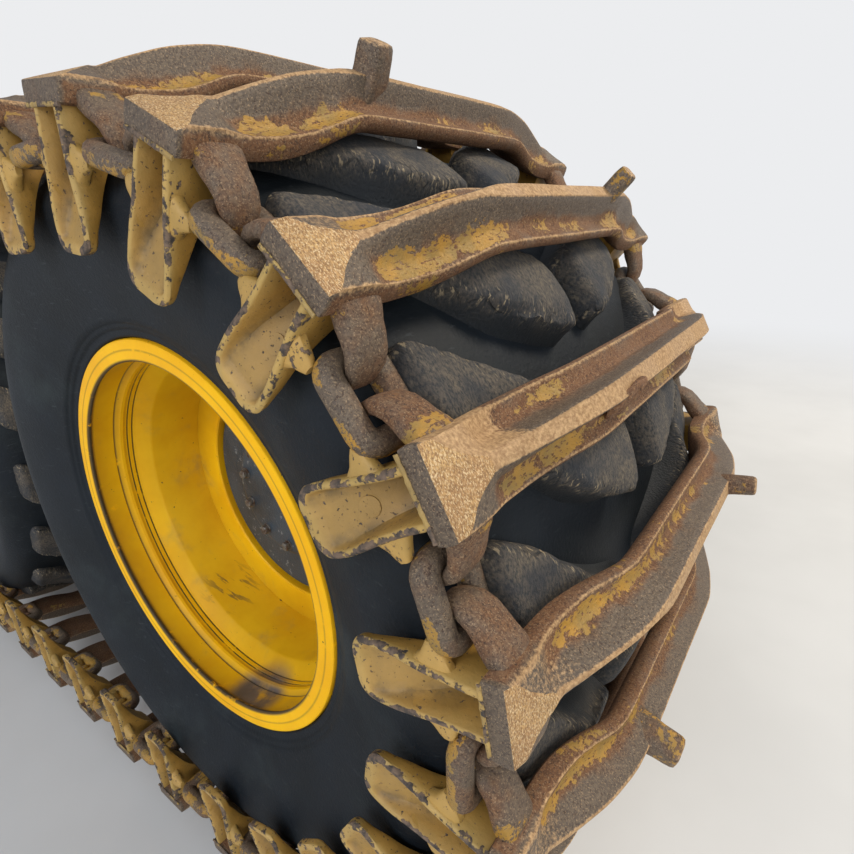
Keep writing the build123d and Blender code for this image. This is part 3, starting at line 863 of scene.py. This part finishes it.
def tray_template():
    """A side tray: an open scoop that slopes in over the tyre, with its mark, its weld and two webs."""
    bm = new_bmesh()
    heights = [494, 494.7, 496, 498, 501, 504, 507, 510, 513, 516, 522, 530, 540, 551, 562, 574, 586, 598,
               610, 622, 636, 657]
    sections = [tray_section(up) for up in heights]
    lofted(bm, [points for points, rows in sections], [rows for points, rows in sections])
    mark = bmesh.ops.create_cone(bm, cap_ends=True, segments=24, radius1=12, radius2=11.6, depth=4)["verts"]
    bmesh.ops.rotate(bm, cent=(0, 0, 0), matrix=Matrix.Rotation(math.pi / 2 - 0.4, 3, "X"), verts=mark)
    bmesh.ops.translate(bm, vec=(2, 27.2, 566), verts=mark)
    for vert in mark:
        vert[bm.verts.layers.float_color["zone"]] = (1.0, 0.0, 0.15, 1.0)
    bead = []
    for step in range(40):
        along = 41.5 * (step / 19.5 - 1)
        thick = 3.4 + 1.4 * noise.noise(Vector((step * 0.37, 2, 5)))
        bead.append([(along, across - 0.3, 656.5 + up)
                     for across, up in soft_outline(thick, thick + 2, 1, 10)])
    lofted(bm, bead, [[(0.0, 1.0, 0.6)] * 10] * len(bead))
    for side in (-1, 1):
        web = []
        for along, low, high, thick in ((27, 560, 622, 20), (34, 572, 618, 18), (43, 584, 613, 16),
                                        (52, 589, 609, 13), (58, 592, 605, 8)):
            web.append([(side * along, 13 + across, (low + high) / 2 + up)
                        for across, up in soft_outline(thick, high - low, 0.6, 12)])
        lofted(bm, web, [[(0.1, 0.62, 0.0)] * 12] * len(web))
    return template(bm, "tray_template")


class BOGIE_OT_trays(bpy.types.Operator):
    """Hangs a dished side tray under both ends of every shoe"""
    bl_idname = "bogie.trays"
    bl_label = "Side trays"

    def execute(self, context):
        tray = tray_template()
        for side, name in ((-1, "outer"), (1, "inner")):
            edge = Matrix.Translation((0, side * SHOE_HALF_WIDTH * MM, 0))
            turn = Matrix.Identity(4) if side < 0 else Matrix.Rotation(math.pi, 4, "Z")
            places = [place @ edge @ turn for place in shoe_places()]
            bm = copied(tray, places, 0.8, wave_size=40, seed=41 + side)
            finished_piece(name + "_trays", bm, ["tray_paint"], "bogie",
                           [name + "_paddles"], 42)
        return {"FINISHED"}


# Wheels

# From the rim's face, radius: the tyre's outside from the bead up to the middle of the crown
TYRE_SIDE = (
    (22.4, 338.4), (22.4, 362.5), (8, 363), (3.5, 364.5), (1.5, 368), (1, 374), (-1, 378), (-3, 379),
    (-4.5, 384), (-6.5, 388), (-8.5, 389), (-11, 398), (-20, 428), (-30, 462), (-37, 500), (-41, 530),
    (-42, 545), (-40, 562), (-33, 580), (-20, 600), (0, 615), (24, 624), (60, 630), (120, 634),
    (220, 636), (350, 637),
)
TYRE_INSIDE = ((350, 600), (120, 598), (60, 588), (10, 556), (2, 500), (30, 420), (60, 380), (68, 338.4))

# From the tyre's middle: the lug's turn back from its inner end in degrees, half its length round the tyre,
# the radius of its top
LUG_STATIONS = (
    (34, 0.4, 52, 684),
    (60, 1.0, 58, 687),
    (114, 2.8, 61, 687.5),
    (176, 5.6, 64, 687.5),
    (212, 8.0, 66, 682),
    (240, 10.2, 68, 670.5),
    (270, 12.7, 69, 660),
    (300, 14.7, 68, 653),
    (325, 16.2, 65, 650),
    (344, 17.2, 56, 646),
)
# Across a lug from its middle to its foot: share of its half length, drop from the top, sunk, high, edge
LUG_OUTLINE = (
    (0.0, 0, 0.0, 1.0, 0.0), (0.18, 0.1, 0.0, 1.0, 0.0), (0.36, 0.2, 0.0, 1.0, 0.0),
    (0.52, 0.5, 0.0, 1.0, 0.1), (0.68, 1.0, 0.0, 1.0, 0.3), (0.80, 2.0, 0.0, 1.0, 0.7),
    (0.88, 4, 0.0, 0.9, 1.0), (0.93, 8, 0.05, 0.7, 1.0), (0.96, 13.5, 0.2, 0.5, 0.9),
    (0.985, 20, 0.5, 0.3, 0.6), (1.01, 28, 0.75, 0.2, 0.3), (1.05, 37, 0.9, 0.1, 0.1),
    (1.11, 48, 1.0, 0.0, 0.0), (1.24, 60, 1.0, 0.0, 0.0),
)
# How far the lug's rounded ends reach, how deep they run down and the radius on which its length is measured
LUG_ROUNDING = 20
LUG_END_DROP = 46
TREAD_RADIUS = 670


def lug_template():
    """One tread lug from the tyre's middle to its shoulder, swept back, with a worn and rounded top."""
    bm = new_bmesh()
    sections, rows = [], []
    outline = [(-share, *rest) for share, *rest in reversed(LUG_OUTLINE[1:])] + list(LUG_OUTLINE)
    first, last = LUG_STATIONS[0][0], LUG_STATIONS[-1][0]
    steps = 46
    for step in range(steps + 1):
        part = step / steps
        crowded = 0.5 - 0.5 * math.cos(math.pi * part)
        side = first + (last - first) * (crowded + part) / 2
        swept, half, top = between(LUG_STATIONS, side)
        inside = min(1, (side - first + 0.4) / LUG_ROUNDING, (last + 1 - side) / LUG_ROUNDING)
        closing = math.sqrt(max(0.02, 1 - (1 - inside) ** 2))
        points = []
        for share, drop, *zone in outline:
            up = top - drop - LUG_END_DROP * (1 - closing) ** 1.3
            turn = math.radians(-swept) + share * half * (0.72 + 0.28 * closing) / TREAD_RADIUS
            points.append((up * math.sin(turn), side, up * math.cos(turn)))
        sections.append(points)
        rows.append([(max(sunk, 0.9 - closing), high, max(edge, 0.9 - closing))
                     for share, drop, sunk, high, edge in outline])
    lofted(bm, sections, rows)
    return template(bm, "lug_template")


# Each wheel's turn from upright, in degrees, at which a lug's inner end stands
LUG_PHASE = 74.5


class BOGIE_OT_tyres(bpy.types.Operator):
    """Builds both tyres: bulging sidewalls and two rows of torn, dusty tread lugs"""
    bl_idname = "bogie.tyres"
    bl_label = "Tyres"

    def execute(self, context):
        lug = lug_template()
        half = list(TYRE_SIDE)
        section = half + [(RIM_WIDTH - y, r) for y, r in reversed(half[:-1])]
        section += [(RIM_WIDTH - y, r) for y, r in reversed(TYRE_INSIDE)] + list(TYRE_INSIDE[1:])
        section = [(RIM_FACE_Y + y, r) for y, r in section]
        count = settings().lug_count
        for end, x in WHEEL_X.items():
            body = "wheel_" + end
            spun(f"tyre_{end}_carcass", section, x, 120, [(0.0, 0.0)] * len(section), "side_rubber", body,
                 ["tyre_" + end], 50)
            bm = bmesh.new()
            tear = random.Random(61 + round(x))
            wheel = Matrix.Translation(Vector((x, CENTRE_Y, WHEEL_Z)) * MM)
            for number in range(count):
                for side in (-1, 1):
                    start = len(bm.verts)
                    bm.from_mesh(lug)
                    bm.verts.ensure_lookup_table()
                    new = bm.verts[start:]
                    shift = Vector((tear.uniform(0, 90), tear.uniform(0, 90), tear.uniform(0, 90)))
                    zone = bm.verts.layers.float_color["zone"]
                    # Swells worn into the top, bites out of its edges and a ragged surface beside them
                    for vert in new:
                        spot = vert.co.copy()
                        outwards = Vector((spot.x, 0, spot.z)).normalized()
                        high, edge = vert[zone][1], vert[zone][2]
                        lump = max(0.0, noise.noise(spot * per_mm(70) + shift)) * 7 * high
                        bite = max(0.0, noise.noise(spot * per_mm(24) + shift) - 0.05) * 15 * edge
                        ragged = noise.noise_vector(spot * per_mm(9) + shift) * 2.4 * edge
                        sink = outwards * (lump + bite + 1.6 * edge)
                        vert.co = spot + (ragged - sink) * MM
                    turn = math.radians(LUG_PHASE + (360 * number + tear.uniform(-8, 8)) / count)
                    mirror = Matrix.Scale(side, 4, (0, 1, 0))
                    bmesh.ops.transform(bm, matrix=wheel @ Matrix.Rotation(turn, 4, "Y") @ mirror, verts=new)
            bmesh.ops.recalc_face_normals(bm, faces=bm.faces)
            finished_piece(f"tyre_{end}_lugs", bm, ["lug_rubber"], body, sharp=70)
        return {"FINISHED"}


# From the rim's face, radius, depth zone, edge zone: the open side of the rim down to the middle of the well
RIM_OPEN = (
    (19, 362, 0.0, 0.0), (3, 362, 0.0, 0.2), (0.5, 360.5, 0.0, 0.1), (0, 357, 0.0, 0.0),
    (0, 347, 0.0, 0.0), (0, 344.5, 0.0, 0.5), (0, 342, 0.0, 0.0), (0, 331, 0.0, 0.0),
    (0.8, 327.5, 0.0, 0.9), (3.5, 325.5, 0.0, 1.0), (7, 326.5, 0.0, 1.0), (10, 330.5, 0.1, 0.8),
    (15, 332, 0.5, 0.2), (51, 332, 0.5, 0.0), (53, 333.5, 0.5, 0.9), (56, 332, 0.4, 0.2),
    (62, 325, 0.2, 0.1), (67, 324, 0.2, 0.1), (71, 326, 0.4, 0.2), (75, 326, 0.4, 0.0),
    (76, 328, 0.4, 1.0), (77.5, 328, 0.4, 1.0), (78.5, 326, 0.4, 0.0), (85, 326, 0.4, 0.0),
    (86, 328, 0.4, 1.0), (87.5, 328, 0.4, 1.0), (88.5, 326, 0.5, 0.0), (94, 323, 0.5, 0.0),
    (112, 306, 0.6, 0.0), (118, 303.3, 0.7, 0.0), (350, 303.0, 1.0, 0.0),
)
RIM_TYRE_SIDE = ((350, 315), (118, 315), (94, 336), (90, 338), (24, 338), (22, 340), (22, 359), (21, 361.5))
# The disc's section, with its bright rolled lip round the hub
DISC_SECTION = (
    (222.5, 302.7, 0.8, 0.0), (222, 300, 0.8, 0.0), (222, 240, 0.4, 0.0), (223, 236, 0.2, 0.0),
    (226, 233.4, 0.2, 0.1), (240, 233, 0.2, 0.1), (243, 234, 0.4, 0.0), (244, 237, 0.5, 0.0),
    (244, 300, 0.8, 0.0), (243.5, 302.7, 0.8, 0.0),
)


class BOGIE_OT_rims(bpy.types.Operator):
    """Turns both rims with rolled edges, stepped bead seats and deep wells, and their discs"""
    bl_idname = "bogie.rims"
    bl_label = "Rims and discs"

    def execute(self, context):
        half = list(RIM_OPEN)
        whole = half + [(RIM_WIDTH - y, *rest) for y, *rest in reversed(half[:-1])]
        whole += [(RIM_WIDTH - y, r, 0.0, 0.0) for y, r in reversed(RIM_TYRE_SIDE)]
        whole += [(y, r, 0.0, 0.0) for y, r in RIM_TYRE_SIDE[1:]]
        for end, x in WHEEL_X.items():
            body = "wheel_" + end
            for piece, section, steps, stands_for in (
                    ("barrel", whole, 144, ["rim_", "rim_ring_outer_", "rim_ring_inner_"]),
                    ("disc", DISC_SECTION, 120, ["wheel_disc_"])):
                spun(f"rim_{end}_{piece}", [(RIM_FACE_Y + y, r) for y, r, *zone in section], x, steps,
                     [zone for y, r, *zone in section], "rim_enamel", body,
                     [name + end for name in stands_for], 34)
        return {"FINISHED"}


def bolt_template(across_flats, height):
    """A hexagon bolt's head on its washer, standing on z = 0."""
    bm = new_bmesh()
    washer = bmesh.ops.create_cone(bm, cap_ends=True, segments=20, radius1=across_flats * 0.68,
                                   radius2=across_flats * 0.66, depth=height * 0.2)["verts"]
    bmesh.ops.translate(bm, vec=(0, 0, height * 0.1), verts=washer)
    head = bmesh.ops.create_cone(bm, cap_ends=True, segments=6, radius1=across_flats * 0.577,
                                 radius2=across_flats * 0.577, depth=height * 0.85)["verts"]
    bmesh.ops.translate(bm, vec=(0, 0, height * 0.6), verts=head)
    top = [face for face in bm.faces if face.calc_center_median().z > height]
    bmesh.ops.inset_region(bm, faces=top, thickness=across_flats * 0.07, depth=height * 0.06)
    bmesh.ops.bevel(bm, geom=[edge for edge in bm.edges if edge.calc_face_angle(0) > 0.5],
                    offset=across_flats * 0.02, offset_type="OFFSET", segments=1, profile=0.5,
                    affect="EDGES", material=-1)
    return template(bm, "bolt_template")


def bolt_circle(x, y, z, radius, count, outwards, start=0.5):
    """Places round a circle about a Y axis, each with its bolt pointing outwards, -1 or +1 along Y."""
    out = []
    facing = Matrix.Rotation(-outwards * math.pi / 2, 4, "X")
    for number in range(count):
        turn = 2 * math.pi * (number + start) / count
        spot = Vector((x + radius * math.cos(turn), y, z + radius * math.sin(turn))) * MM
        out.append(Matrix.Translation(spot) @ facing @ Matrix.Rotation(number * 1.1, 4, "Z"))
    return out


# From the rim's face, radius: the hub and its cover in one turned section, from the axis out and back to it
HUB_SECTION = (
    (207.5, 0), (207.5, 40), (207.5, 118), (209, 126), (213, 131), (229, 132), (232, 135), (233, 141),
    (233, 216), (234, 224), (238, 228), (244.2, 229), (244.2, 262), (247, 267), (268, 268), (272, 264),
    (274, 226), (280, 217), (300, 215), (540, 215), (544, 211), (544, 114), (330, 111), (322, 106), (320, 0),
)


class BOGIE_OT_hubs(bpy.types.Operator):
    """Turns the planetary hubs with their covers, and bolts them up"""
    bl_idname = "bogie.hubs"
    bl_label = "Hubs"

    def execute(self, context):
        section = [(RIM_FACE_Y + y, r) for y, r in HUB_SECTION]
        large = bolt_template(30, 19)
        small = bolt_template(17, 11)
        for end, x in WHEEL_X.items():
            body = "wheel_" + end
            spun(f"hub_{end}_casting", section, x, 96, [(0.0, 0.0)] * len(section), "hub_paint", body,
                 ["hub_" + end, "hub_cover_" + end], 32, closed=False)
            for use, bolt, y, radius, count, outwards in (("cover", small, 207.5, 108, 10, -1),
                                                          ("wheel", large, 272, 247, 20, 1)):
                bm = copied(bolt, bolt_circle(x, RIM_FACE_Y + y, WHEEL_Z, radius, count, outwards))
                finished_piece(f"hub_{end}_{use}_bolts", bm, ["bolt_steel"], body, sharp=30)
        return {"FINISHED"}


# From the case's inner face, radius: a bolted cover over each end's gear
COVER_SECTION = ((15, 0), (15, 58), (9, 66), (9, 118), (12, 124), (12, 150), (9.5, 153), (-2, 153), (-2, 0))
# Along the case, half height, how far the rib stands out
RIB_STATIONS = ((286, 3, 2), (292, 8, 9), (330, 9, 11), (560, 8, 9), (580, 7, 6), (588, 3, 2))


class BOGIE_OT_case(bpy.types.Operator):
    """Finishes the case, final drives and axle end, and adds their bolts, covers, ribs and plugs"""
    bl_idname = "bogie.case"
    bl_label = "Case and axle end"

    def execute(self, context):
        looks = {
            "case_paint": ("bogie_case", "swing_bearing", "case_cap", "final_drive_front",
                           "final_drive_rear"),
            "guard_paint": ("belly_guard", "axle_end_housing"),
            "turned_steel": ("swing_journal", "drive_shaft"),
            "seal_lip": ("shaft_seal",),
        }
        for finish, nodes in looks.items():
            for name in nodes:
                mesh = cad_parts[name].data
                mesh.materials.clear()
                mesh.materials.append(finishes[finish])
        large = bolt_template(30, 19)
        small = bolt_template(19, 12)
        on_cap = bolt_circle(0, CASE_OUTER_Y - 20, 0, radius=160, count=12, outwards=-1)
        on_drives, on_covers = [], []
        for end, x in WHEEL_X.items():
            spun("case_cover_" + end, [(CASE_INNER_Y + y, r) for y, r in COVER_SECTION], x, 72,
                 [(0.0, 0.0)] * len(COVER_SECTION), "case_paint", "bogie", closed=False)
            on_drives += bolt_circle(x, CASE_OUTER_Y - 30, WHEEL_Z, radius=212, count=16, outwards=-1)
            on_covers += bolt_circle(x, CASE_INNER_Y + 12, WHEEL_Z, radius=138, count=12, outwards=1)
            # A plug for the oil, low between the cover and the axle
            on_covers += bolt_circle(x * 0.52, CASE_INNER_Y, WHEEL_Z - 62, radius=0, count=1, outwards=1)
        for name, bolt, places in (("case_bolts", small, on_cap), ("drive_bolts", large, on_drives),
                                   ("cover_bolts", small, on_covers)):
            finished_piece(name, copied(bolt, places), ["bolt_steel"], "bogie", sharp=30)
        bm = new_bmesh()
        for side in (-1, 1):
            for lift in (-52, 40):
                # Each pair of ribs falls with the case and closes up towards the wheel
                rib = []
                for along, half, out in RIB_STATIONS:
                    middle = -0.12 * along + lift * (1 - along / 1400)
                    rib.append([(side * along, CASE_INNER_Y + across + out / 2 - 2, middle + up)
                                for across, up in soft_outline(out + 4, half * 2, 0.5, 12)])
                lofted(bm, rib, [[(0.0, 0.0, 0.0)] * 12] * len(rib))
        ribs = copied(template(bm, "ribs"), [Matrix.Identity(4)])
        finished_piece("case_ribs", ribs, ["case_paint"], "bogie")
        return {"FINISHED"}


class BOGIE_OT_finishes(bpy.types.Operator):
    """Mixes the finishes: forged and ground steel, enamels, rubber, painted castings and bare shafts"""
    bl_idname = "bogie.finishes"
    bl_label = "Finishes"

    def execute(self, context):
        finishes.update({
            "forged_steel": forged_steel("forged_steel", 1.42, 0.5),
            "ring_steel": forged_steel("ring_steel", 1.3, 0.45),
            "ground_steel": ground_steel(),
            "tray_paint": tray_paint(),
            "rim_enamel": rim_enamel(),
            "side_rubber": side_rubber(),
            "lug_rubber": lug_rubber(),
            "hub_paint": case_paint("hub_paint", "#3C474F", 0.7),
            "case_paint": case_paint("case_paint", tuple(colours().case_grey), 0.35),
            "guard_paint": case_paint("guard_paint", "#4A4A46", 0.5),
            "turned_steel": turned_steel(),
            "seal_lip": seal_lip(),
            "bolt_steel": bolt_steel(),
        })
        return {"FINISHED"}


BACKDROP = "#ECEDEF"


def studio_floor():
    # Matt white board, uneven in tone; far from the object it turns into the backdrop, so that no edge shows
    made, tree, shader, where = started("studio_floor")
    body = node(tree, "Mix", {0: patches(tree, where, 900, 0.3, 0.7), 6: "#D6D5D1",
                              7: tuple(colours().floor_white)}, data_type="RGBA")
    tree.links.new(body, shader.inputs["Base Color"])
    shader.inputs["Roughness"].default_value = 0.9
    away = node(tree, "VectorMath", {0: where}, out="Value", operation="LENGTH")
    away = node(tree, "MapRange", {"Value": away, "From Min": 2.2, "From Max": 6.0},
                interpolation_type="SMOOTHSTEP")
    seen = node(tree, "LightPath", out="Is Camera Ray")
    seen = node(tree, "Math", {0: seen, 1: seen.node.outputs["Is Glossy Ray"]}, operation="ADD",
                use_clamp=True)
    away = node(tree, "Math", {0: away, 1: seen}, operation="MULTIPLY")
    plain = node(tree, "Emission", {"Color": BACKDROP, "Strength": 1.0})
    mixed = node(tree, "MixShader", {0: away, 1: shader.outputs[0], 2: plain})
    tree.links.new(mixed, tree.nodes["Material Output"].inputs["Surface"])
    return made


def studio_sky():
    # A soft cool dome that lights the object, and the plain backdrop for the camera
    world = bpy.data.worlds.new("studio_sky")
    world.use_nodes = True
    tree = world.node_tree
    sky = tree.nodes["Background"]
    sky.inputs["Color"].default_value = linear("#D3DAE4")
    sky.inputs["Strength"].default_value = 0.62
    plain = node(tree, "Background", {"Color": BACKDROP, "Strength": 1.0})
    seen = node(tree, "LightPath", out="Is Camera Ray")
    mixed = node(tree, "MixShader", {0: seen, 1: sky.outputs[0], 2: plain})
    tree.links.new(mixed, tree.nodes["World Output"].inputs["Surface"])
    return world


# Lamp, from, to, power in watts, size in metres, colour
LAMPS = (
    ("sun_side", (5.2, 3.6, 6.4), (0.3, -0.9, 0.0), 540, 2.2, "#FFF4E4"),
    ("open_side", (1.0, -8.5, 4.0), (0.5, -1.0, -0.2), 360, 5.0, "#F4F6FF"),
    ("front_fill", (9.0, -4.5, 2.2), (0.6, -0.9, -0.2), 220, 5.0, "#FFFFFF"),
)
# The photograph's view: place in metres, turns in degrees, focal length on a 36 mm sensor
EYE_PLACE = (1.6097, -1.6722, 0.3964)
EYE_TURNS = (70.310, 3.985, 36.757)
EYE_LENS = 23.2485


class BOGIE_OT_stage(bpy.types.Operator):
    """Sets the pale floor, the soft lamps and the camera at the photograph's view"""
    bl_idname = "bogie.stage"
    bl_label = "Stage"

    def execute(self, context):
        scene = context.scene
        bm = bmesh.new()
        bmesh.ops.create_grid(bm, x_segments=1, y_segments=1, size=80)
        bmesh.ops.translate(bm, vec=(0, 0, FLOOR_Z * MM), verts=bm.verts)
        mesh = bpy.data.meshes.new("floor")
        bm.to_mesh(mesh)
        bm.free()
        mesh.materials.append(studio_floor())
        floor = bpy.data.objects.new("floor", mesh)
        scene.collection.objects.link(floor)
        scene.world = studio_sky()
        for name, place, aim, power, size, colour in LAMPS:
            lamp = bpy.data.lights.new(name, "AREA")
            lamp.energy = power
            lamp.size = size
            lamp.color = linear(colour)[:3]
            holder = bpy.data.objects.new(name, lamp)
            facing = (Vector(aim) - Vector(place)).to_track_quat("-Z", "Y")
            holder.matrix_world = Matrix.Translation(place) @ facing.to_matrix().to_4x4()
            scene.collection.objects.link(holder)
        eye = bpy.data.cameras.new("photo_view")
        eye.sensor_width = 36
        eye.lens = EYE_LENS
        eye.clip_start = 0.01
        eye.clip_end = 500
        holder = bpy.data.objects.new("photo_view", eye)
        holder.location = EYE_PLACE
        holder.rotation_euler = [math.radians(turn) for turn in EYE_TURNS]
        scene.collection.objects.link(holder)
        scene.camera = holder
        scene.view_settings.view_transform = "Standard"
        return {"FINISHED"}


class BOGIE_PT_panel(bpy.types.Panel):
    bl_label = "Tracked bogie"
    bl_idname = "BOGIE_PT_panel"
    bl_space_type = "VIEW_3D"
    bl_region_type = "UI"
    bl_category = "Bogie"

    def draw(self, context):
        for group in (context.scene.bogie_sizes, context.scene.bogie_colours):
            for name in group.__annotations__:
                self.layout.prop(group, name)
        for operator in OPERATORS:
            self.layout.operator(operator.bl_idname)


OPERATORS = (
    BOGIE_OT_finishes,
    BOGIE_OT_stage,
    BOGIE_OT_shoes,
    BOGIE_OT_rings,
    BOGIE_OT_trays,
    BOGIE_OT_tyres,
    BOGIE_OT_rims,
    BOGIE_OT_hubs,
    BOGIE_OT_case,
)
CLASSES = (BOGIE_PG_sizes, BOGIE_PG_colours, *OPERATORS, BOGIE_PT_panel)


def register():
    for item in CLASSES:
        bpy.utils.register_class(item)
    bpy.types.Scene.bogie_sizes = bpy.props.PointerProperty(type=BOGIE_PG_sizes)
    bpy.types.Scene.bogie_colours = bpy.props.PointerProperty(type=BOGIE_PG_colours)


def unregister():
    del bpy.types.Scene.bogie_sizes
    del bpy.types.Scene.bogie_colours
    for item in reversed(CLASSES):
        bpy.utils.unregister_class(item)


def main():
    register()
    for operator in OPERATORS:
        group, name = operator.bl_idname.split(".")
        getattr(getattr(bpy.ops, group), name)()


if __name__ == "__main__":
    main()
